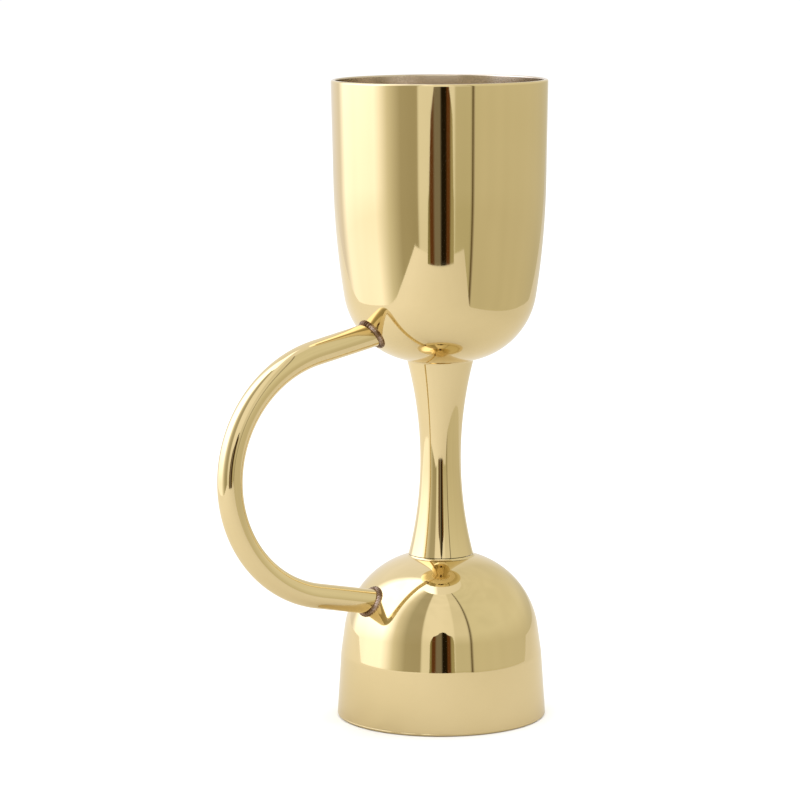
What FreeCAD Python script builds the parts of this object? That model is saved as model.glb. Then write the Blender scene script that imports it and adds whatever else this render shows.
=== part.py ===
"""Double-ended bar jigger with a bent-tube finger handle, in millimetres.

The jigger's axis is Z. It stands on the rim of the lower cup at Z = 0, with the upper cup's
mouth at the top. The handle lies in the XZ plane, on the -X side.
"""
import FreeCAD
import Part
import Sketcher
import math
import os

SIZES = [
    # Upper cup, the 2 oz one: its outside, from the rim down
    ("total_height", 125.0),
    ("upper_rim_radius", 21.0),
    ("upper_wall_foot_radius", 20.62),
    ("upper_wall_foot_height", 105.2),
    ("upper_belly_radius", 162.0),
    ("upper_bottom_radius", 15.1),
    ("upper_base_height", 70.3),
    # Lower cup, the 1 oz one, mouth down: its outside, from the crown down
    ("lower_crown_height", 32.3),
    ("lower_crown_flat_radius", 2.2),
    ("lower_dome_radius", 17.0),
    ("lower_shoulder_radius", 19.76),
    ("lower_shoulder_height", 12.45),
    ("lower_rim_radius", 20.55),
    # Sheet of both cups and how much their rim edges are rounded
    ("cup_wall", 0.8),
    ("rim_round", 0.25),
    # Stem: a tube drawn in at the waist
    ("waist_radius", 4.0),
    ("waist_height", 51.0),
    ("waist_curve_radius", 76.5),
    ("stem_wall", 0.8),
    ("stem_blank_top", 70.9),
    ("stem_blank_bottom", 31.4),
    # Solder where the stem meets the cups: from its toe on the stem to its heel on the cup
    ("solder_inner_radius", 5.9),
    ("upper_solder_toe_radius", 6.35),
    ("upper_solder_toe_height", 69.85),
    ("upper_solder_heel_radius", 7.2),
    ("upper_solder_heel_height", 70.7),
    ("lower_solder_toe_radius", 6.26),
    ("lower_solder_toe_height", 32.5),
    ("lower_solder_heel_radius", 7.2),
    ("lower_solder_heel_height", 31.54),
    # Handle: a round tube bent to an arc with a straight leg at each end
    ("tube_radius", 2.45),
    ("tube_wall", 0.8),
    ("bend_radius", 24.1),
    ("bend_centre_x", -23.5),
    ("bend_centre_height", 50.3),
    ("leg_slope", 11.7),
    ("leg_end_x", -10.0),
    # Weld beads where the handle meets the cups
    ("bead_ring_radius", 2.7),
    ("bead_radius", 0.6),
]

ORIGIN = -1
HORIZONTAL_AXIS = -1
VERTICAL_AXIS = -2
START = 1
END = 2
CENTRE = 3

doc = FreeCAD.newDocument("bar_jigger")


# ---------------------------------------------------------------- sheet of driving sizes
def make_sheet():
    sheet = doc.addObject("Spreadsheet::Sheet", "Sizes")
    for row, (name, value) in enumerate(SIZES, start=1):
        sheet.set(f"A{row}", name)
        sheet.set(f"B{row}", str(value))
        sheet.setAlias(f"B{row}", name)
    doc.recompute()
    return sheet


sizes = make_sheet()


def size(name):
    return float(sizes.get(name))


# ---------------------------------------------------------------- helpers for sketches
def point(x, z):
    return FreeCAD.Vector(x, z, 0)


def new_body(label):
    body = doc.addObject("PartDesign::Body", label)
    body.Label = label
    return body


def new_sketch(body, name, role="XZ_Plane"):
    sketch = body.newObject("Sketcher::SketchObject", name)
    plane = next(item for item in body.Origin.OriginFeatures if item.Role == role)
    sketch.AttachmentSupport = [(plane, "")]
    sketch.MapMode = "FlatFace"
    return sketch


def add_line(sketch, start, end):
    return sketch.addGeometry(Part.LineSegment(start, end))


def add_arc(sketch, centre, start, end):
    """The arc about centre that runs counter-clockwise from start to end."""
    circle = Part.Circle(centre, FreeCAD.Vector(0, 0, 1), (start - centre).Length)
    first = math.atan2(start.y - centre.y, start.x - centre.x)
    last = math.atan2(end.y - centre.y, end.x - centre.x)
    return sketch.addGeometry(Part.ArcOfCircle(circle, first, last))


def join(sketch, kind, first, first_end, second, second_end):
    sketch.addConstraint(Sketcher.Constraint(kind, first, first_end, second, second_end))


def drive(sketch, name, expression, kind, *where):
    """Adds one dimension and binds it to the sheet."""
    index = sketch.addConstraint(Sketcher.Constraint(kind, *where))
    sketch.renameConstraint(index, name)
    sketch.setExpression(f"Constraints.{name}", expression)


def place(sketch, name, geometry, end, across, up):
    """Fixes a point of the outline at a distance from the axis and a height."""
    if across:
        where = (ORIGIN, START, geometry, end, size(across))
        drive(sketch, f"{name}_x", f"Sizes.{across}", "DistanceX", *where)
    if up:
        where = (ORIGIN, START, geometry, end, size(up))
        drive(sketch, f"{name}_z", f"Sizes.{up}", "DistanceY", *where)


def fix_radius(sketch, name, arc, expression):
    value = sketch.Geometry[arc].Radius
    drive(sketch, name, expression, "Radius", arc, value)


def revolve(body, sketch):
    revolution = body.newObject("PartDesign::Revolution", f"{body.Label}_turned")
    revolution.Profile = sketch
    revolution.ReferenceAxis = (sketch, ["V_Axis"])
    revolution.Angle = 360
    sketch.Visibility = False
    doc.recompute()
    return revolution


def cut(label, base, *tools):
    """Takes each tool away from the base, one after the other."""
    result = base
    for tool in tools:
        step = doc.addObject("Part::Cut", f"{label}_cut")
        step.Base = result
        step.Tool = tool
        result = step
    doc.recompute()
    result.Label = label
    return result


# ---------------------------------------------------------------- cups
def upper_cup_solid(label):
    """The upper cup's outside as a full solid: a tapered wall, a slow belly and a round bottom."""
    rim = point(size("upper_rim_radius"), size("total_height"))
    foot = point(size("upper_wall_foot_radius"), size("upper_wall_foot_height"))
    base_height = size("upper_base_height")
    belly = size("upper_belly_radius")
    bottom = size("upper_bottom_radius")

    wall = (rim - foot).normalize()
    belly_centre = foot + point(-wall.y, wall.x) * belly
    bottom_z = base_height + bottom
    reach = belly - bottom
    bottom_x = belly_centre.x + math.sqrt(reach**2 - (bottom_z - belly_centre.y) ** 2)
    bottom_centre = point(bottom_x, bottom_z)
    shoulder = belly_centre + (bottom_centre - belly_centre) * (belly / reach)
    flat_edge = point(bottom_x, base_height)

    body = new_body(label)
    sketch = new_sketch(body, f"{label}_outline")
    axis = add_line(sketch, point(0, rim.y), point(0, base_height))
    base = add_line(sketch, point(0, base_height), flat_edge)
    bottom_arc = add_arc(sketch, bottom_centre, flat_edge, shoulder)
    belly_arc = add_arc(sketch, belly_centre, shoulder, foot)
    side = add_line(sketch, foot, rim)
    mouth = add_line(sketch, rim, point(0, rim.y))

    join(sketch, "Coincident", axis, END, base, START)
    join(sketch, "Tangent", base, END, bottom_arc, START)
    join(sketch, "Tangent", bottom_arc, END, belly_arc, START)
    join(sketch, "Tangent", belly_arc, END, side, START)
    join(sketch, "Coincident", side, END, mouth, START)
    join(sketch, "Coincident", mouth, END, axis, START)
    sketch.addConstraint(Sketcher.Constraint("PointOnObject", axis, START, VERTICAL_AXIS))
    sketch.addConstraint(Sketcher.Constraint("Vertical", axis))
    sketch.addConstraint(Sketcher.Constraint("Horizontal", base))
    sketch.addConstraint(Sketcher.Constraint("Horizontal", mouth))
    place(sketch, "rim", side, END, "upper_rim_radius", "total_height")
    place(sketch, "foot", side, START, "upper_wall_foot_radius", "upper_wall_foot_height")
    place(sketch, "base", base, END, None, "upper_base_height")
    fix_radius(sketch, "belly", belly_arc, "Sizes.upper_belly_radius")
    fix_radius(sketch, "bottom", bottom_arc, "Sizes.upper_bottom_radius")
    revolve(body, sketch)
    return body


def lower_cup_solid(label):
    """The lower cup's outside as a full solid: a dome that ends at a soft shoulder, and a straight skirt."""
    crown = size("lower_crown_height")
    dome = size("lower_dome_radius")
    crown_edge = point(size("lower_crown_flat_radius"), crown)
    shoulder = point(size("lower_shoulder_radius"), size("lower_shoulder_height"))
    rim = point(size("lower_rim_radius"), 0)

    dome_centre = crown_edge - point(0, dome)
    reach = shoulder - dome_centre
    away = math.atan2(reach.y, reach.x) + math.acos(dome / reach.Length)
    dome_foot = dome_centre + point(dome * math.cos(away), dome * math.sin(away))

    body = new_body(label)
    sketch = new_sketch(body, f"{label}_outline")
    axis = add_line(sketch, point(0, crown), point(0, 0))
    mouth = add_line(sketch, point(0, 0), rim)
    skirt = add_line(sketch, rim, shoulder)
    side = add_line(sketch, shoulder, dome_foot)
    dome_arc = add_arc(sketch, dome_centre, dome_foot, crown_edge)
    top = add_line(sketch, crown_edge, point(0, crown))

    join(sketch, "Coincident", axis, END, mouth, START)
    join(sketch, "Coincident", mouth, END, skirt, START)
    join(sketch, "Coincident", skirt, END, side, START)
    join(sketch, "Tangent", side, END, dome_arc, START)
    join(sketch, "Tangent", dome_arc, END, top, START)
    join(sketch, "Coincident", top, END, axis, START)
    join(sketch, "Coincident", axis, END, ORIGIN, START)
    sketch.addConstraint(Sketcher.Constraint("Vertical", axis))
    sketch.addConstraint(Sketcher.Constraint("Horizontal", mouth))
    sketch.addConstraint(Sketcher.Constraint("Horizontal", top))
    place(sketch, "crown", top, START, "lower_crown_flat_radius", "lower_crown_height")
    place(sketch, "shoulder", side, START, "lower_shoulder_radius", "lower_shoulder_height")
    place(sketch, "rim", mouth, END, "lower_rim_radius", None)
    fix_radius(sketch, "dome", dome_arc, "Sizes.lower_dome_radius")
    revolve(body, sketch)
    return body


def hollow_out(body, mouth_height):
    """Opens the cup at its mouth, leaves a wall of sheet and rounds both edges of the rim."""
    solid = body.Tip
    mouth = next(
        f"Face{number}"
        for number, face in enumerate(solid.Shape.Faces, start=1)
        if abs(face.CenterOfMass.z - mouth_height) < 1e-6
    )
    shell = body.newObject("PartDesign::Thickness", f"{body.Label}_wall")
    shell.Base = (solid, [mouth])
    shell.Reversed = True
    shell.setExpression("Value", "Sizes.cup_wall")
    doc.recompute()

    rim_edges = [
        f"Edge{number}"
        for number, edge in enumerate(shell.Shape.Edges, start=1)
        if abs(edge.BoundBox.ZMin - mouth_height) < 1e-6
        and abs(edge.BoundBox.ZMax - mouth_height) < 1e-6
    ]
    rounding = body.newObject("PartDesign::Fillet", f"{body.Label}_rim")
    rounding.Base = (shell, rim_edges)
    rounding.setExpression("Radius", "Sizes.rim_round")
    doc.recompute()
    return body


# ---------------------------------------------------------------- stem
def stem_blank():
    """The waisted tube before its ends are shaped to the cups."""
    top = size("stem_blank_top")
    bottom = size("stem_blank_bottom")
    curve = size("waist_curve_radius")
    centre = point(size("waist_radius") + curve, size("waist_height"))

    def on_curve(radius, height):
        return point(centre.x - math.sqrt(radius**2 - (height - centre.y) ** 2), height)

    inner = curve + size("stem_wall")
    body = new_body("stem_blank")
    sketch = new_sketch(body, "stem_section")
    outside = add_arc(sketch, centre, on_curve(curve, top), on_curve(curve, bottom))
    foot = add_line(sketch, on_curve(curve, bottom), on_curve(inner, bottom))
    inside = add_arc(sketch, centre, on_curve(inner, top), on_curve(inner, bottom))
    head = add_line(sketch, on_curve(inner, top), on_curve(curve, top))

    join(sketch, "Coincident", outside, END, foot, START)
    join(sketch, "Coincident", foot, END, inside, END)
    join(sketch, "Coincident", inside, START, head, START)
    join(sketch, "Coincident", head, END, outside, START)
    join(sketch, "Coincident", outside, CENTRE, inside, CENTRE)
    sketch.addConstraint(Sketcher.Constraint("Horizontal", foot))
    sketch.addConstraint(Sketcher.Constraint("Horizontal", head))
    place(sketch, "head", head, START, None, "stem_blank_top")
    place(sketch, "foot", foot, START, None, "stem_blank_bottom")
    place(sketch, "waist", outside, CENTRE, None, "waist_height")
    where = (ORIGIN, START, outside, CENTRE, centre.x)
    drive(sketch, "waist_x", "Sizes.waist_radius + Sizes.waist_curve_radius", "DistanceX", *where)
    fix_radius(sketch, "curve", outside, "Sizes.waist_curve_radius")
    fix_radius(sketch, "bore", inside, "Sizes.waist_curve_radius + Sizes.stem_wall")
    revolve(body, sketch)
    return body


def solder_blank(end, buried):
    """A ring with a sloping face, deep enough for its back to lie inside the cup's sheet."""
    toe_radius, toe_height = f"{end}_solder_toe_radius", f"{end}_solder_toe_height"
    heel_radius, heel_height = f"{end}_solder_heel_radius", f"{end}_solder_heel_height"
    inner = size("solder_inner_radius")
    toe = point(size(toe_radius), size(toe_height))
    heel = point(size(heel_radius), size(heel_height))
    back = size(buried)

    label = f"{end}_solder_blank"
    body = new_body(label)
    sketch = new_sketch(body, f"{label}_section")
    bore = add_line(sketch, point(inner, toe.y), point(inner, back))
    back_edge = add_line(sketch, point(inner, back), point(heel.x, back))
    side = add_line(sketch, point(heel.x, back), heel)
    face = add_line(sketch, heel, toe)
    toe_edge = add_line(sketch, toe, point(inner, toe.y))

    edges = (bore, back_edge, side, face, toe_edge)
    for edge, following in zip(edges, edges[1:] + edges[:1]):
        join(sketch, "Coincident", edge, END, following, START)
    for edge in (bore, side):
        sketch.addConstraint(Sketcher.Constraint("Vertical", edge))
    for edge in (back_edge, toe_edge):
        sketch.addConstraint(Sketcher.Constraint("Horizontal", edge))
    place(sketch, "bore", bore, START, "solder_inner_radius", None)
    place(sketch, "back", back_edge, START, None, buried)
    place(sketch, "heel", face, START, heel_radius, heel_height)
    place(sketch, "toe", face, END, toe_radius, toe_height)
    revolve(body, sketch)
    return body


# ---------------------------------------------------------------- handle
def leg_direction(way):
    slope = math.radians(size("leg_slope"))
    return FreeCAD.Vector(math.cos(slope), 0, way * math.sin(slope))


def leg_start(way):
    """Where the bend ends and the straight leg begins; way is +1 for the upper leg."""
    slope = math.radians(size("leg_slope"))
    bend = size("bend_radius")
    x = size("bend_centre_x") - bend * math.sin(slope)
    z = size("bend_centre_height") + way * bend * math.cos(slope)
    return FreeCAD.Vector(x, 0, z)


def half_path(body, name, way):
    """Half of the tube's centre line: from the grip's middle round the bend and along a leg."""
    centre = point(size("bend_centre_x"), size("bend_centre_height"))
    grip = centre - point(size("bend_radius"), 0)
    start = leg_start(way)
    bend_end = point(start.x, start.z)
    run = leg_direction(way)
    length = (size("leg_end_x") - bend_end.x) / run.x
    leg_end = bend_end + point(run.x, run.z) * length

    sketch = new_sketch(body, name)
    if way > 0:
        bend = add_arc(sketch, centre, bend_end, grip)
        grip_point, leg_point = END, START
    else:
        bend = add_arc(sketch, centre, grip, bend_end)
        grip_point, leg_point = START, END
    leg = add_line(sketch, bend_end, leg_end)
    join(sketch, "Tangent", bend, leg_point, leg, START)
    join(sketch, "Horizontal", bend, CENTRE, bend, grip_point)
    place(sketch, "centre", bend, CENTRE, "bend_centre_x", "bend_centre_height")
    place(sketch, "leg", leg, END, "leg_end_x", None)
    fix_radius(sketch, "bend", bend, "Sizes.bend_radius")
    slope = way * math.radians(size("leg_slope"))
    drive(sketch, "slope", f"{way} * Sizes.leg_slope * 1 deg", "Angle", leg, slope)
    sketch.Visibility = False
    return sketch


def handle_blank():
    """The bent tube before its ends are coped: two pipes that meet at the grip's middle."""
    body = new_body("handle_blank")
    section = new_sketch(body, "tube_section", "XY_Plane")
    section.setExpression("AttachmentOffset.Base.z", "Sizes.bend_centre_height")
    grip = point(size("bend_centre_x") - size("bend_radius"), 0)
    outer = size("tube_radius")
    for name, radius, rule in (
        ("outside", outer, "Sizes.tube_radius"),
        ("bore", outer - size("tube_wall"), "Sizes.tube_radius - Sizes.tube_wall"),
    ):
        circle = Part.Circle(grip, FreeCAD.Vector(0, 0, 1), radius)
        ring = section.addGeometry(circle)
        on_axis = Sketcher.Constraint("PointOnObject", ring, CENTRE, HORIZONTAL_AXIS)
        section.addConstraint(on_axis)
        where = (ORIGIN, START, ring, CENTRE, grip.x)
        rule_x = "Sizes.bend_centre_x - Sizes.bend_radius"
        drive(section, f"{name}_x", rule_x, "DistanceX", *where)
        fix_radius(section, name, ring, rule)
    section.Visibility = False
    for name, way in (("upper", 1), ("lower", -1)):
        path = half_path(body, f"{name}_path", way)
        doc.recompute()
        pipe = body.newObject("PartDesign::AdditivePipe", f"{name}_half")
        pipe.Profile = section
        pipe.Spine = (path, ["Edge1", "Edge2"])
        doc.recompute()
    return body


def bead(label, cup, way):
    """A ring of weld in the corner where a leg meets a cup, square to the cup's surface there."""
    start = leg_start(way)
    end = start + leg_direction(way) * (size("leg_end_x") - start.x)
    axis = Part.LineSegment(start, end).toShape()
    buried = cup.Shape.common(axis)
    pierce = min((vertex.Point for vertex in buried.Vertexes), key=lambda spot: spot.x)
    face = min(cup.Shape.Faces, key=lambda item: item.distToShape(Part.Vertex(pierce))[0])
    outward = face.normalAt(*face.Surface.parameter(pierce))

    torus = doc.addObject("Part::Torus", label)
    torus.setExpression("Radius1", "Sizes.bead_ring_radius")
    torus.setExpression("Radius2", "Sizes.bead_radius")
    turn = FreeCAD.Rotation(FreeCAD.Vector(0, 0, 1), outward)
    torus.Placement = FreeCAD.Placement(pierce, turn)
    doc.recompute()
    return torus


# ---------------------------------------------------------------- the pieces
def make_pieces():
    upper_form = upper_cup_solid("upper_form")
    lower_form = lower_cup_solid("lower_form")
    upper_cup = hollow_out(upper_cup_solid("upper_cup"), size("total_height"))
    lower_cup = hollow_out(lower_cup_solid("lower_cup"), 0.0)
    stem = cut("stem", stem_blank(), upper_cup, lower_cup)
    handle = cut("handle", handle_blank(), upper_form, lower_form)

    upper_solder = solder_blank("upper", "stem_blank_top")
    lower_solder = solder_blank("lower", "stem_blank_bottom")
    upper_weld = bead("upper_bead", upper_form, 1)
    lower_weld = bead("lower_bead", lower_form, -1)
    return [
        upper_cup,
        lower_cup,
        stem,
        cut("upper_stem_solder", upper_solder, upper_form, stem),
        cut("lower_stem_solder", lower_solder, lower_form, stem),
        handle,
        cut("upper_handle_weld", upper_weld, upper_form, handle),
        cut("lower_handle_weld", lower_weld, lower_form, handle),
    ]


def check(pieces):
    for item in doc.Objects:
        if "Invalid" in item.State or "Error" in item.State:
            raise RuntimeError(f"{item.Label} failed: {item.State}")
    for piece in pieces:
        shape = piece.Shape
        if shape.isNull() or not shape.isValid() or len(shape.Solids) != 1:
            raise RuntimeError(f"{piece.Label} isn't one valid solid")
        print(f"{piece.Label}: {shape.Volume:.1f} mm3")


pieces = make_pieces()
check(pieces)
os.makedirs("parts", exist_ok=True)
for piece in pieces:
    piece.Shape.exportStep(f"parts/{piece.Label}.step")
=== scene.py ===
import math

import bmesh
import bpy
from mathutils import Matrix, Vector


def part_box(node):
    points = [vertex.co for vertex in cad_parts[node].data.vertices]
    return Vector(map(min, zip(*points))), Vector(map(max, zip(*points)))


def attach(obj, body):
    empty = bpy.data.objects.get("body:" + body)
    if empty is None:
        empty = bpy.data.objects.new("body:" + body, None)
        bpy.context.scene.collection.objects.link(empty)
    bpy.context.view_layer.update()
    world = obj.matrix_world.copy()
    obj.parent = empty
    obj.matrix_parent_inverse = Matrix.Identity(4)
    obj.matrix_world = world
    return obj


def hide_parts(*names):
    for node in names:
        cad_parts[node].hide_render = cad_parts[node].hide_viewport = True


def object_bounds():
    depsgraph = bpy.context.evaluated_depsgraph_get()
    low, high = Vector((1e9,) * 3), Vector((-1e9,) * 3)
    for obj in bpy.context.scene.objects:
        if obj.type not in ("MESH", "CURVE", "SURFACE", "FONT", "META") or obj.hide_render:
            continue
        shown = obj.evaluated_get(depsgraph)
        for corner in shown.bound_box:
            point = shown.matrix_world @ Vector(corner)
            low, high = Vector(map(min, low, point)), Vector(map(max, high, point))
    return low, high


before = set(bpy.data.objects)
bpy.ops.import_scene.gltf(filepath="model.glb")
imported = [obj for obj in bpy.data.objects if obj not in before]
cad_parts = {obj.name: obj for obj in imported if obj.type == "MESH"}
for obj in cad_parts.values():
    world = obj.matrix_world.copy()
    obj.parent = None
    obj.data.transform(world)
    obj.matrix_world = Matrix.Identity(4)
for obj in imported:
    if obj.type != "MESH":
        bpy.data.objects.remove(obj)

# A gold-plated double-ended jigger with a finger handle. Lengths are in metres.
MM = 0.001
cad_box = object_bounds()

# ------------------------------------------------------------------ the jigger's sizes
SHEET = 0.8 * MM
LIP_OUTSIDE = 0.42 * MM
LIP_INSIDE = 0.28 * MM

BELLY_RADIUS = 162.0 * MM
BOTTOM_RADIUS = 15.1 * MM
WALL_FOOT = (20.62 * MM, 105.2 * MM)

DOME_RADIUS = 17.0 * MM
CROWN_FLAT = 2.2 * MM
SHOULDER = (19.76 * MM, 12.45 * MM)
SHOULDER_SOFTNESS = 0.35 * MM

WAIST_RADIUS = 4.0 * MM
WAIST_HEIGHT = 51.0 * MM
WAIST_CURVE = 76.5 * MM
SOLDER_CURVE = 0.5 * MM

TUBE_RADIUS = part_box("handle")[1].y
BEND_RADIUS = 24.1 * MM
BEND_CENTRE = Vector((-23.5 * MM, 0, 50.3 * MM))
LEG_SLOPE = math.radians(11.7)

BEAD_RADIUS = 0.52 * MM
BEAD_STANDOFF = 0.1 * MM
BEAD_RIPPLES = 30

# Steps round each turned piece
AROUND = 288


# ------------------------------------------------------------------ outlines, as (radius, height)
def line(start, end, count=24):
    """Points from start up to but not including end, closer together near both ends."""
    share = [0.5 - 0.5 * math.cos(math.pi * step / count) for step in range(count)]
    return [(start[0] + (end[0] - start[0]) * t, start[1] + (end[1] - start[1]) * t) for t in share]


def arc(centre, radius, start, end, count=24):
    """Points of an arc, without its last one. Angles are in radians from the outward direction."""
    turns = [start + (end - start) * step / count for step in range(count)]
    return [(centre[0] + radius * math.cos(a), centre[1] + radius * math.sin(a)) for a in turns]


def along(start, end):
    """The direction from start to end, of length 1."""
    length = math.dist(start, end)
    return (end[0] - start[0]) / length, (end[1] - start[1]) / length


def bearing(start, end):
    return math.atan2(end[1] - start[1], end[0] - start[0])


def step_out(centre, radius, angle):
    return centre[0] + radius * math.cos(angle), centre[1] + radius * math.sin(angle)


def step_towards(start, end, distance):
    along_x, along_z = along(start, end)
    return start[0] + along_x * distance, start[1] + along_z * distance


def curve(start, middle, end, count=10):
    """A soft bend from start to end that leaves and arrives along the lines to the middle."""
    points = []
    for step in range(count):
        t = step / count
        first, second, third = (1 - t) ** 2, 2 * t * (1 - t), t**2
        x = first * start[0] + second * middle[0] + third * end[0]
        z = first * start[1] + second * middle[1] + third * end[1]
        points.append((x, z))
    return points


def circles_meet(first, first_radius, second, second_radius):
    """The two points at given distances from two centres."""
    gap = math.dist(first, second)
    reach = (first_radius**2 - second_radius**2 + gap**2) / (2 * gap)
    side = math.sqrt(first_radius**2 - reach**2)
    x, z = along(first, second)
    middle = (first[0] + x * reach, first[1] + z * reach)
    return [(middle[0] - z * side * way, middle[1] + x * side * way) for way in (1, -1)]


class UpperCup:
    """A tapered wall, a slow belly and a round bottom, each tangent to the next."""

    def __init__(self):
        low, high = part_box("upper_cup")
        self.rim = (high.x, high.z)
        self.base = low.z
        x, z = along(WALL_FOOT, self.rim)
        self.taper = math.atan2(x, z)
        self.belly = (WALL_FOOT[0] - z * BELLY_RADIUS, WALL_FOOT[1] + x * BELLY_RADIUS)
        height = self.base + BOTTOM_RADIUS
        reach = BELLY_RADIUS - BOTTOM_RADIUS
        across = math.sqrt(reach**2 - (height - self.belly[1]) ** 2)
        self.bottom = (self.belly[0] + across, height)
        self.shoulder = math.atan2(height - self.belly[1], across)

    def outside(self):
        start = (self.rim[0] - LIP_OUTSIDE, self.rim[1] - LIP_OUTSIDE)
        points = arc(start, LIP_OUTSIDE, math.pi / 2, -self.taper, 14)
        lip_end = (start[0] + LIP_OUTSIDE * math.cos(self.taper), start[1])
        points += line(lip_end, WALL_FOOT, 40)
        points += arc(self.belly, BELLY_RADIUS, -self.taper, self.shoulder, 40)
        points += arc(self.bottom, BOTTOM_RADIUS, self.shoulder, -math.pi / 2, 90)
        return points + [(self.bottom[0], self.base), (0.0, self.base)]

    def inside(self):
        floor = self.base + SHEET
        mouth = (self.rim[0] - SHEET, self.rim[1])
        lip = (mouth[0] + LIP_INSIDE, self.rim[1] - LIP_INSIDE)
        foot = (WALL_FOOT[0] - SHEET, WALL_FOOT[1])
        points = [(0.0, floor), (self.bottom[0], floor)]
        points += arc(self.bottom, BOTTOM_RADIUS - SHEET, -math.pi / 2, self.shoulder, 60)[1:]
        points += arc(self.belly, BELLY_RADIUS - SHEET, self.shoulder, -self.taper, 30)
        points += line(foot, (mouth[0], lip[1]), 30)
        points += arc(lip, LIP_INSIDE, math.pi, math.pi / 2, 10)
        return points + [(self.rim[0] - LIP_OUTSIDE, self.rim[1])]

    def radius_at(self, height):
        drop = self.bottom[1] - height
        return self.bottom[0] + math.sqrt(max(BOTTOM_RADIUS**2 - drop**2, 0))


class LowerCup:
    """A dome that ends at a soft shoulder, and a straight skirt that stands on its rim."""

    def __init__(self):
        low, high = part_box("lower_cup")
        self.rim = (high.x, low.z)
        self.crown = high.z
        self.dome = (CROWN_FLAT, self.crown - DOME_RADIUS)
        reach = math.dist(self.dome, SHOULDER)
        self.lean = bearing(self.dome, SHOULDER) + math.acos(DOME_RADIUS / reach)
        self.skirt_lean = math.atan2(self.rim[0] - SHOULDER[0], SHOULDER[1])

    def side(self, inwards):
        """The side from the dome's foot down to the skirt's, moved inwards."""
        top = step_out(self.dome, DOME_RADIUS - inwards, self.lean)
        middle = (self.lean + self.skirt_lean) / 2
        bend = step_out(SHOULDER, -inwards, middle)
        over = step_towards(bend, top, SHOULDER_SOFTNESS)
        foot = (self.rim[0] - inwards / math.cos(self.skirt_lean), self.rim[1])
        under = step_towards(bend, foot, SHOULDER_SOFTNESS)
        lip = step_towards(foot, bend, LIP_OUTSIDE)
        return line(top, over, 12) + curve(over, bend, under) + line(under, lip, 30)

    def outside(self):
        side = self.side(0.0)
        lip = (side[-1][0] - LIP_OUTSIDE, side[-1][1])
        points = [(0.0, self.crown)]
        points += arc(self.dome, DOME_RADIUS, math.pi / 2, self.lean, 100) + side
        points += arc(lip, LIP_OUTSIDE, self.skirt_lean, -math.pi / 2, 14)
        return points + [(lip[0], self.rim[1])]

    def inside(self):
        side = self.side(SHEET)
        lip = (side[-1][0] + LIP_INSIDE, side[-1][1])
        points = [(self.rim[0] - LIP_OUTSIDE, self.rim[1])]
        points += arc(lip, LIP_INSIDE, -math.pi / 2, -math.pi, 10) + side[::-1]
        points += arc(self.dome, DOME_RADIUS - SHEET, self.lean, math.pi / 2, 60)
        return points + [(self.dome[0], self.crown - SHEET), (0.0, self.crown - SHEET)]

    def radius_at(self, height):
        rise = height - self.dome[1]
        return self.dome[0] + math.sqrt(max(DOME_RADIUS**2 - rise**2, 0))


upper = UpperCup()
lower = LowerCup()
waist = (WAIST_RADIUS + WAIST_CURVE, WAIST_HEIGHT)


def solder_outline(centre, radius, way):
    """The concave face between the stem and a cup, tangent to both, with a back hidden in them.

    way is +1 if the cup lies above the ring and -1 if below.
    """
    meets = circles_meet(waist, WAIST_CURVE - SOLDER_CURVE, centre, radius + SOLDER_CURVE)
    middle = min(meets)
    toe = bearing(waist, middle)
    heel = bearing(middle, centre)
    heel += math.tau if heel < toe - math.pi else 0
    face = arc(middle, SOLDER_CURVE, toe, heel, 24) + [step_out(middle, SOLDER_CURVE, heel)]
    depth = 0.2 * MM
    back = (face[0][0] - depth, face[-1][1] + way * depth)
    outline = face + [(face[-1][0], back[1]), back, (back[0], face[0][1])]
    return outline[::way]


def stem_outline():
    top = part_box("stem")[1].z - 0.1 * MM
    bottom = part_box("stem")[0].z + 0.1 * MM
    high = math.asin((top - WAIST_HEIGHT) / WAIST_CURVE)
    low = math.asin((bottom - WAIST_HEIGHT) / WAIST_CURVE)
    return arc(waist, WAIST_CURVE, math.pi - high, math.pi - low, 120)


# ------------------------------------------------------------------ meshes
def make_object(name, vertices, faces):
    mesh = bpy.data.meshes.new(name)
    mesh.from_pydata(vertices, [], faces)
    mesh.polygons.foreach_set("use_smooth", [True] * len(mesh.polygons))
    mesh.update()
    piece = bpy.data.objects.new(name, mesh)
    bpy.context.scene.collection.objects.link(piece)
    return piece


def turn(name, outline, closed=False):
    """Turns an outline about Z. The outline's left side, seen along it, faces outwards."""
    vertices, rings, faces = [], [], []
    for radius, height in outline:
        first = len(vertices)
        if radius < 1e-9:
            vertices.append((0, 0, height))
            rings.append([first] * AROUND)
            continue
        for step in range(AROUND):
            angle = math.tau * step / AROUND
            vertices.append((radius * math.cos(angle), radius * math.sin(angle), height))
        rings.append(list(range(first, first + AROUND)))
    pairs = list(zip(rings, rings[1:]))
    if closed:
        pairs.append((rings[-1], rings[0]))
    for ring, after in pairs:
        for step in range(AROUND):
            following = (step + 1) % AROUND
            corners = [ring[step], after[step], after[following], ring[following]]
            faces.append(list(dict.fromkeys(corners)))
    return make_object(name, vertices, faces)


def leg_direction(way):
    return Vector((math.cos(LEG_SLOPE), 0, way * math.sin(LEG_SLOPE)))


def leg_start(way):
    across = -BEND_RADIUS * math.sin(LEG_SLOPE)
    up = way * BEND_RADIUS * math.cos(LEG_SLOPE)
    return BEND_CENTRE + Vector((across, 0, up))


def spot_on_cup(cup, way, angle, radius, standoff):
    """Where a line beside the leg's axis comes within a standoff of the cup's surface."""
    run = leg_direction(way)
    upward = run.cross(Vector((0, way, 0)))
    side = Vector((0, math.sin(angle), 0)) + upward * math.cos(angle)
    start = leg_start(way) + side * radius
    near, far = 0.0, 18.0 * MM
    for _ in range(40):
        middle = (near + far) / 2
        spot = start + run * middle
        outside = math.hypot(spot.x, spot.y) > cup.radius_at(spot.z) + standoff
        near, far = (middle, far) if outside else (near, middle)
    return start + run * near


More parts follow.
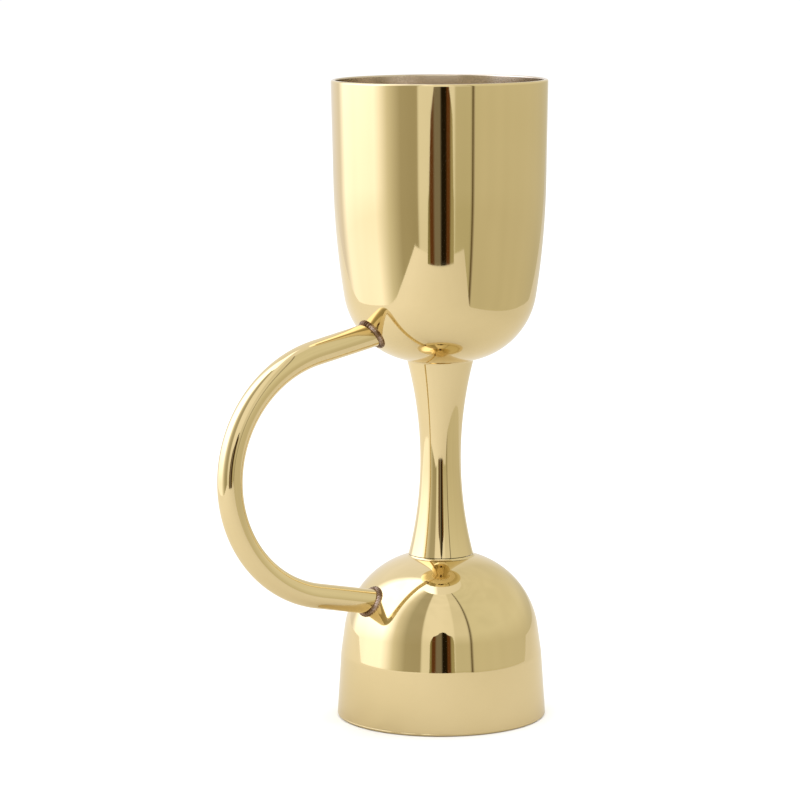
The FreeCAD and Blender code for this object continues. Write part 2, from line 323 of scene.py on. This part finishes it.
def make_handle():
    """A tube round the bend and along both legs, its ends coped to the cups."""
    around, bend_steps = 96, 160
    rings = []

    def ring(centre, upward):
        turns = [math.tau * step / around for step in range(around)]
        sides = [Vector((0, math.sin(a), 0)) + upward * math.cos(a) for a in turns]
        return [centre + side * TUBE_RADIUS for side in sides]

    def coped(cup, way):
        turns = [math.tau * step / around for step in range(around)]
        return [spot_on_cup(cup, way, a, TUBE_RADIUS, -0.3 * MM) for a in turns]

    sweep = math.pi - 2 * LEG_SLOPE
    rings.append(coped(lower, -1))
    for step in range(bend_steps + 1):
        angle = math.pi + sweep / 2 - sweep * step / bend_steps
        outward = Vector((math.cos(angle), 0, math.sin(angle)))
        rings.append(ring(BEND_CENTRE + outward * BEND_RADIUS, outward))
    rings.append(coped(upper, 1))
    vertices = [spot for ring_spots in rings for spot in ring_spots]
    faces = []
    for row in range(len(rings) - 1):
        for step in range(around):
            following = (step + 1) % around
            low, high = row * around, (row + 1) * around
            faces.append([low + step, low + following, high + following, high + step])
    return make_object("handle_tube", vertices, faces)


def make_bead(name, cup, way, phase):
    """A weld laid round the leg in overlapping drops, a little uneven as hand work is."""
    steps, around = 720, 28
    spots = []
    for step in range(steps):
        angle = math.tau * step / steps
        radius = TUBE_RADIUS + BEAD_STANDOFF
        spots.append(spot_on_cup(cup, way, angle, radius, BEAD_STANDOFF))
    centre = sum(spots, Vector()) / steps
    vertices, faces = [], []
    for step, spot in enumerate(spots):
        run = (spots[(step + 1) % steps] - spots[step - 1]).normalized()
        outward = (spot - centre).normalized()
        across = run.cross(outward).normalized()
        outward = across.cross(run)
        turned = math.tau * step / steps
        uneven = 0.5 * math.sin(3 * turned + phase) + 0.5 * math.sin(7 * turned + 2.3 * phase)
        for corner in range(around):
            side = math.tau * corner / around
            drop = BEAD_RIPPLES * step / steps + 0.3 * math.cos(side) + 0.12 * uneven
            crest = (drop % 1.0) ** 0.7 * (1.0 - drop % 1.0) ** 0.35 * 1.9
            radius = BEAD_RADIUS * (0.84 + 0.05 * uneven + 0.2 * crest)
            place = outward * math.cos(side) + across * math.sin(side)
            vertices.append(spot + place * radius)
            following = (corner + 1) % around
            here, there = step * around, (step + 1) % steps * around
            faces.append([here + corner, here + following, there + following, there + corner])
    bead = make_object(name, vertices, faces)
    fix_normals(bead)
    return bead


def fix_normals(piece):
    shape = bmesh.new()
    shape.from_mesh(piece.data)
    bmesh.ops.recalc_face_normals(shape, faces=shape.faces)
    shape.to_mesh(piece.data)
    shape.free()


# ------------------------------------------------------------------ materials
def new_material(name):
    material = bpy.data.materials.new(name)
    material.use_nodes = True
    return material, material.node_tree.nodes, material.node_tree.links


def noise(nodes, links, coordinates, scale, detail=2.0, stretch=(1, 1, 1)):
    mapping = nodes.new("ShaderNodeMapping")
    mapping.inputs["Scale"].default_value = stretch
    links.new(coordinates, mapping.inputs["Vector"])
    texture = nodes.new("ShaderNodeTexNoise")
    texture.inputs["Scale"].default_value = scale
    texture.inputs["Detail"].default_value = detail
    links.new(mapping.outputs["Vector"], texture.inputs["Vector"])
    return texture.outputs["Fac"]


def ramp(nodes, links, value, stops):
    node = nodes.new("ShaderNodeValToRGB")
    links.new(value, node.inputs["Fac"])
    bar = node.color_ramp
    for place, colour in stops[1:-1]:
        bar.elements.new(place).color = (*colour, 1)
    bar.elements[0].position, bar.elements[0].color = stops[0][0], (*stops[0][1], 1)
    bar.elements[-1].position, bar.elements[-1].color = stops[-1][0], (*stops[-1][1], 1)
    return node.outputs["Color"]


def spread(nodes, links, value, low, high):
    node = nodes.new("ShaderNodeMapRange")
    node.inputs["From Min"].default_value = 0.3
    node.inputs["From Max"].default_value = 0.7
    node.inputs["To Min"].default_value = low
    node.inputs["To Max"].default_value = high
    links.new(value, node.inputs["Value"])
    return node.outputs["Result"]


def bump(nodes, links, height, distance, base=None):
    node = nodes.new("ShaderNodeBump")
    node.inputs["Strength"].default_value = 1.0
    node.inputs["Distance"].default_value = distance
    links.new(height, node.inputs["Height"])
    if base:
        links.new(base, node.inputs["Normal"])
    return node.outputs["Normal"]


def gold_plate():
    """Polished pale gold: faint waves from drawing and buffing, handling marks, fine scratches."""
    material, nodes, links = new_material("gold_plate")
    shader = nodes["Principled BSDF"]
    shader.inputs["Metallic"].default_value = 1.0
    place = nodes.new("ShaderNodeTexCoord").outputs["Object"]
    tone = noise(nodes, links, place, 35.0)
    colour = ramp(nodes, links, tone, [(0.3, (0.765, 0.625, 0.345)), (0.7, (0.8, 0.66, 0.385))])
    links.new(colour, shader.inputs["Base Color"])
    marks = noise(nodes, links, place, 90.0, 5.0)
    links.new(spread(nodes, links, marks, 0.025, 0.06), shader.inputs["Roughness"])
    waves = noise(nodes, links, place, 55.0, 1.0)
    scratches = noise(nodes, links, place, 900.0, 3.0, (1, 1, 0.06))
    waved = bump(nodes, links, waves, 0.006 * MM)
    links.new(bump(nodes, links, scratches, 0.00012 * MM, waved), shader.inputs["Normal"])
    return material


def satin_steel():
    """The unplated lining: rings left by spinning, a soft sheen and a few dull patches."""
    material, nodes, links = new_material("satin_steel")
    shader = nodes["Principled BSDF"]
    shader.inputs["Metallic"].default_value = 1.0
    place = nodes.new("ShaderNodeTexCoord").outputs["Object"]
    tone = noise(nodes, links, place, 60.0, 3.0)
    colour = ramp(nodes, links, tone, [(0.3, (0.64, 0.55, 0.43)), (0.7, (0.74, 0.65, 0.53))])
    links.new(colour, shader.inputs["Base Color"])
    rings = noise(nodes, links, place, 1400.0, 4.0, (0.02, 0.02, 1))
    links.new(spread(nodes, links, tone, 0.14, 0.22), shader.inputs["Roughness"])
    links.new(bump(nodes, links, rings, 0.0008 * MM), shader.inputs["Normal"])
    return material


def weld_metal():
    """Weld metal left as laid, its colour painted light: dark brown painted shade for the dark
    reflections in the corner, with patches of greyer pink as painted highlights.
    """
    material, nodes, links = new_material("weld_bead")
    shader = nodes["Principled BSDF"]
    shader.inputs["Metallic"].default_value = 1.0
    place = nodes.new("ShaderNodeTexCoord").outputs["Object"]
    painted_shade_and_highlights = noise(nodes, links, place, 520.0, 2.0)
    # Painted light: dark brown painted shade and greyer pink painted highlights, in random patches
    stops = [(0.3, (0.07, 0.035, 0.014)), (0.52, (0.22, 0.14, 0.085)), (0.7, (0.56, 0.43, 0.37))]
    links.new(ramp(nodes, links, painted_shade_and_highlights, stops), shader.inputs["Base Color"])
    links.new(spread(nodes, links, painted_shade_and_highlights, 0.34, 0.18), shader.inputs["Roughness"])
    grain = noise(nodes, links, place, 2600.0, 3.0)
    links.new(bump(nodes, links, grain, 0.012 * MM), shader.inputs["Normal"])
    return material


def glowing(name, make_colour):
    material, nodes, links = new_material(name)
    nodes.remove(nodes["Principled BSDF"])
    emission = nodes.new("ShaderNodeEmission")
    links.new(emission.outputs["Emission"], nodes["Material Output"].inputs["Surface"])
    links.new(make_colour(nodes, links), emission.inputs["Color"])
    material.cycles.emission_sampling = "NONE"
    return material


# ------------------------------------------------------------------ camera
# The camera looks slightly down at half the jigger's height, from the handle's side.
CAMERA_TURN = math.radians(33.5)
CAMERA_DISTANCE = 648.0 * MM
CAMERA_HEIGHT = 156.0 * MM
CAMERA_ROLL = math.radians(0.27)
AIM_LEFT = 7.9 * MM
LENS_MM = 150.7
SENSOR_MM = 36.0

towards = Vector((-math.sin(CAMERA_TURN), -math.cos(CAMERA_TURN), 0))
rightwards = Vector((math.cos(CAMERA_TURN), -math.sin(CAMERA_TURN), 0))


def make_camera():
    lens = bpy.data.cameras.new("camera")
    lens.sensor_width = SENSOR_MM
    lens.lens = LENS_MM
    lens.clip_start = 0.01
    lens.clip_end = 20.0
    camera = bpy.data.objects.new("camera", lens)
    middle = (cad_box[0].z + cad_box[1].z) / 2
    aim = rightwards * -AIM_LEFT + Vector((0, 0, middle))
    camera.location = towards * CAMERA_DISTANCE + Vector((0, 0, CAMERA_HEIGHT))
    facing = (aim - camera.location).to_track_quat("-Z", "Y").to_matrix()
    roll = Matrix.Rotation(-CAMERA_ROLL, 3, "Z")
    camera.rotation_euler = (facing @ roll).to_euler()
    bpy.context.scene.collection.objects.link(camera)
    bpy.context.scene.camera = camera


# ------------------------------------------------------------------ studio
ROOM_RADIUS = 1.5
ROOM_TOP = 4.8
ROOM_BOTTOM = -1.6
# Between these heights the room's light changes from its colour near the table to the one above
LOW_LIGHT = -0.15
HIGH_LIGHT = 0.45

# What the polished metal sees round it, by bearing in degrees from the camera, negative to the
# picture's left. Each bearing has the light's colour near the table and higher up: a soft box at
# the left, a dim room, a pale wall behind the camera, a thin dark edge and a grey board.
SURROUNDINGS = [
    (-180, (0.93, 0.9, 0.9), (0.97, 0.95, 0.95)),
    (-134, (0.9, 0.86, 0.86), (1.0, 0.98, 0.96)),
    (-122, (1.4, 1.4, 1.45), (2.2, 2.3, 2.7)),
    (-74, (1.35, 1.34, 1.35), (2.2, 2.3, 2.7)),
    (-57, (0.78, 0.75, 0.62), (0.9, 0.86, 0.76)),
    (-42, (0.46, 0.42, 0.29), (0.5, 0.47, 0.36)),
    (-24, (0.43, 0.39, 0.26), (0.5, 0.46, 0.35)),
    (-22, (0.9, 0.88, 0.78), (1.02, 0.99, 0.92)),
    (15, (0.9, 0.88, 0.78), (1.02, 0.99, 0.92)),
    (17, (0.58, 0.55, 0.38), (0.86, 0.83, 0.73)),
    (33.6, (0.57, 0.54, 0.37), (0.86, 0.83, 0.73)),
    (34.4, (0.1, 0.06, 0.02), (0.12, 0.09, 0.05)),
    (36.2, (0.1, 0.06, 0.02), (0.12, 0.09, 0.05)),
    (37, (0.66, 0.62, 0.47), (0.8, 0.78, 0.64)),
    (118, (0.67, 0.63, 0.49), (0.84, 0.81, 0.68)),
    (158, (0.58, 0.54, 0.4), (0.8, 0.77, 0.66)),
    (171, (0.8, 0.77, 0.7), (0.92, 0.89, 0.84)),
    (180, (0.93, 0.9, 0.9), (0.97, 0.95, 0.95)),
]


def hide_from_camera(thing):
    """Seen only in the metal's reflections: it casts no shadow and lights nothing."""
    thing.visible_camera = False
    thing.visible_diffuse = False
    thing.visible_shadow = False
    thing.visible_transmission = False


def spot(degrees, distance, height):
    turned = math.radians(degrees)
    flat = towards * math.cos(turned) + rightwards * math.sin(turned)
    return flat * distance + Vector((0, 0, height))


def uv_parts(nodes, links):
    """The two UV coordinates of a card in the room: how far across and how far up."""
    apart = nodes.new("ShaderNodeSeparateXYZ")
    links.new(nodes.new("ShaderNodeUVMap").outputs["UV"], apart.inputs["Vector"])
    return apart.outputs["X"], apart.outputs["Y"]


def make_wall():
    """A band all round the jigger, one face to each degree."""
    steps = 360
    vertices, faces = [], []
    for step in range(steps + 1):
        vertices.append(spot(step - 180, ROOM_RADIUS, ROOM_BOTTOM))
        vertices.append(spot(step - 180, ROOM_RADIUS, ROOM_TOP))
    for step in range(steps):
        faces.append([2 * step, 2 * step + 2, 2 * step + 3, 2 * step + 1])
    wall = make_object("room_wall", vertices, faces)
    layer = wall.data.uv_layers.new(name="across_and_up")
    for step, polygon in enumerate(wall.data.polygons):
        corners = ((step, 0), (step + 1, 0), (step + 1, 1), (step, 1))
        for loop, (share, height) in zip(polygon.loop_indices, corners):
            layer.data[loop].uv = (share / steps, height)
    wall.data.materials.append(glowing("room_light", room_colours))
    hide_from_camera(wall)


def multiply(nodes, links, first, second):
    product = nodes.new("ShaderNodeMix")
    product.data_type = "RGBA"
    product.blend_type = "MULTIPLY"
    product.inputs["Factor"].default_value = 1.0
    links.new(first, product.inputs["A"])
    links.new(second, product.inputs["B"])
    return product.outputs["Result"]


def distance_across(nodes, links, place, half):
    """0 at a distance to the camera's left and 1 at the same distance to its right."""
    side = nodes.new("ShaderNodeVectorMath")
    side.operation = "DOT_PRODUCT"
    side.inputs[1].default_value = rightwards
    links.new(place, side.inputs[0])
    share = nodes.new("ShaderNodeMapRange")
    share.inputs["From Min"].default_value = -half
    share.inputs["From Max"].default_value = half
    links.new(side.outputs["Value"], share.inputs["Value"])
    return share.outputs["Result"]


def room_colours(nodes, links):
    across, up = uv_parts(nodes, links)
    low = [((turned + 180) / 360, colour) for turned, colour, _ in SURROUNDINGS]
    high = [((turned + 180) / 360, colour) for turned, _, colour in SURROUNDINGS]
    height = nodes.new("ShaderNodeMapRange")
    span = ROOM_TOP - ROOM_BOTTOM
    height.inputs["From Min"].default_value = (LOW_LIGHT - ROOM_BOTTOM) / span
    height.inputs["From Max"].default_value = (HIGH_LIGHT - ROOM_BOTTOM) / span
    links.new(up, height.inputs["Value"])
    blend = nodes.new("ShaderNodeMix")
    blend.data_type = "RGBA"
    links.new(height.outputs["Result"], blend.inputs["Factor"])
    links.new(ramp(nodes, links, across, low), blend.inputs["A"])
    links.new(ramp(nodes, links, across, high), blend.inputs["B"])
    place = nodes.new("ShaderNodeTexCoord").outputs["Object"]
    folds = noise(nodes, links, place, 1.6, 1.0)
    stops = [(0.35, (0.975, 0.975, 0.97)), (0.65, (1.025, 1.025, 1.03))]
    shade = ramp(nodes, links, folds, stops)
    return multiply(nodes, links, blend.outputs["Result"], shade)


def ceiling_colours(nodes, links):
    """Brightest over the soft box, at the left."""
    place = nodes.new("ShaderNodeTexCoord").outputs["Object"]
    across = distance_across(nodes, links, place, ROOM_RADIUS)
    left, middle, right = (2.0, 2.1, 2.4), (1.0, 0.97, 0.92), (0.92, 0.89, 0.82)
    stops = [(0.0, left), (0.3, left), (0.42, middle), (1.0, right)]
    return ramp(nodes, links, across, stops)


def make_ceiling():
    rim = [spot(turned, ROOM_RADIUS * 1.02, ROOM_TOP) for turned in range(0, 360, 5)]
    ceiling = make_object("room_ceiling", rim, [list(range(len(rim)))])
    ceiling.data.materials.append(glowing("ceiling_light", ceiling_colours))
    hide_from_camera(ceiling)


def screen_colours(nodes, links):
    # Painted light: the glow a dark card shows in the metal's reflections, olive and brown at the
    # sides, grey inside, a black gap
    across, _ = uv_parts(nodes, links)
    olive, brown = (0.3, 0.27, 0.13), (0.13, 0.05, 0.015)
    grey, black = (0.24, 0.21, 0.16), (0.015, 0.01, 0.004)
    stops = [(0.0, olive), (0.13, olive), (0.18, brown), (0.27, brown), (0.34, grey)]
    stops += [(0.5, grey), (0.56, black), (0.7, black), (0.75, brown), (0.83, brown)]
    stops += [(0.88, (0.4, 0.36, 0.2)), (1.0, (0.44, 0.4, 0.24))]
    return ramp(nodes, links, across, stops)


def make_dark_screen():
    """A dark card before the jigger that glows with painted light, seen only in the metal's
    reflections: brown at the sides, grey inside, with a black gap.
    """
    forward = 294 * MM
    half, top = 80 * MM, 124 * MM
    shape = [(-0.88, 0), (1, 0), (0.95, 0.5), (0.85, 0.74), (0.5, 0.84), (0.34, 0.96), (0.12, 1)]
    shape += [(-0.1, 0.95), (-0.26, 0.84), (-0.6, 0.74), (-0.78, 0.5)]
    foot = towards * forward
    vertices = [foot + rightwards * (x * half) + Vector((0, 0, z * top)) for x, z in shape]
    card = make_object("dark_screen", vertices, [list(range(len(shape)))])
    layer = card.data.uv_layers.new(name="across_and_up")
    for loop, (x, z) in zip(card.data.polygons[0].loop_indices, shape):
        layer.data[loop].uv = ((x + 1) / 2, z)
    card.data.materials.append(glowing("dark_screen_glow", screen_colours))
    hide_from_camera(card)


def make_paper():
    """The paper under the jigger, as only the metal sees it, with painted shade: greyer than the
    floor and darker towards the right. Points are rightwards, forwards.
    """
    outline = [
        (-173 * MM, 335 * MM),
        (159 * MM, 322 * MM),
        (113 * MM, 152 * MM),
        (222 * MM, -108 * MM),
        (600 * MM, -1400 * MM),
        (-600 * MM, -1400 * MM),
        (-283 * MM, -143 * MM),
        (-184 * MM, 145 * MM),
    ]
    lift = Vector((0, 0, 0.02 * MM))
    vertices = [rightwards * x + towards * y + lift for x, y in outline]
    paper = make_object("paper", vertices, [list(range(len(outline)))])
    # Painted shade: the paper is greyer than the floor and darker at the right than at the left
    at_left, at_right = (0.72, 0.695, 0.66), (0.55, 0.525, 0.47)
    paper.data.materials.append(pale_surface("paper_painted_shade", at_left, at_right))
    hide_from_camera(paper)


def pale_surface(name, at_left, at_right):
    """Matt and almost white, changing slowly across as painted shade, with a faint mottle."""
    material, nodes, links = new_material(name)
    shader = nodes["Principled BSDF"]
    place = nodes.new("ShaderNodeTexCoord").outputs["Object"]
    across = distance_across(nodes, links, place, 150 * MM)
    shade = ramp(nodes, links, across, [(0.0, at_left), (1.0, at_right)])
    mottle = noise(nodes, links, place, 30.0, 3.0)
    faint = ramp(nodes, links, mottle, [(0.3, (0.985, 0.985, 0.98)), (0.7, (1, 1, 1))])
    links.new(multiply(nodes, links, shade, faint), shader.inputs["Base Color"])
    shader.inputs["Roughness"].default_value = 0.9
    shader.inputs["Specular IOR Level"].default_value = 0.0
    return material


def make_floor():
    half = 6.0
    corners = [(-half, -half), (half, -half), (half, half), (-half, half)]
    floor = make_object("floor", [(x, y, 0) for x, y in corners], [[0, 1, 2, 3]])
    white = (0.93, 0.93, 0.925)
    floor.data.materials.append(pale_surface("floor_white", white, white))
    floor.visible_glossy = False


def make_light():
    world = bpy.data.worlds.new("studio")
    world.use_nodes = True
    background = world.node_tree.nodes["Background"]
    background.inputs["Color"].default_value = (1, 1, 1, 1)
    background.inputs["Strength"].default_value = 1.12
    bpy.context.scene.world = world
    bpy.context.scene.view_settings.view_transform = "Standard"

    lamp = bpy.data.lights.new("overhead", "AREA")
    lamp.shape = "DISK"
    lamp.size = 1.6
    lamp.energy = 9.0
    light = bpy.data.objects.new("overhead", lamp)
    light.location = (0, 0, 1.3)
    light.visible_glossy = False
    bpy.context.scene.collection.objects.link(light)


# ------------------------------------------------------------------ putting it together
def stand_for(piece, node, material):
    piece.data.materials.append(material)
    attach(piece, "root")
    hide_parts(node)


make_camera()
make_floor()
make_paper()
make_wall()
make_ceiling()
make_dark_screen()
make_light()

gold = gold_plate()
steel = satin_steel()
weld = weld_metal()

stand_for(turn("upper_cup_outside", upper.outside()), "upper_cup", gold)
stand_for(turn("upper_cup_inside", upper.inside()), "upper_cup", steel)
stand_for(turn("lower_cup_outside", lower.outside()), "lower_cup", gold)
stand_for(turn("lower_cup_inside", lower.inside()), "lower_cup", steel)
stand_for(turn("stem_tube", stem_outline()), "stem", gold)
upper_ring = turn("upper_solder", solder_outline(upper.bottom, BOTTOM_RADIUS, 1), closed=True)
stand_for(upper_ring, "upper_stem_solder", gold)
lower_ring = turn("lower_solder", solder_outline(lower.dome, DOME_RADIUS, -1), closed=True)
stand_for(lower_ring, "lower_stem_solder", gold)
stand_for(make_handle(), "handle", gold)
stand_for(make_bead("upper_bead", upper, 1, 0.4), "upper_handle_weld", weld)
stand_for(make_bead("lower_bead", lower, -1, 1.9), "lower_handle_weld", weld)
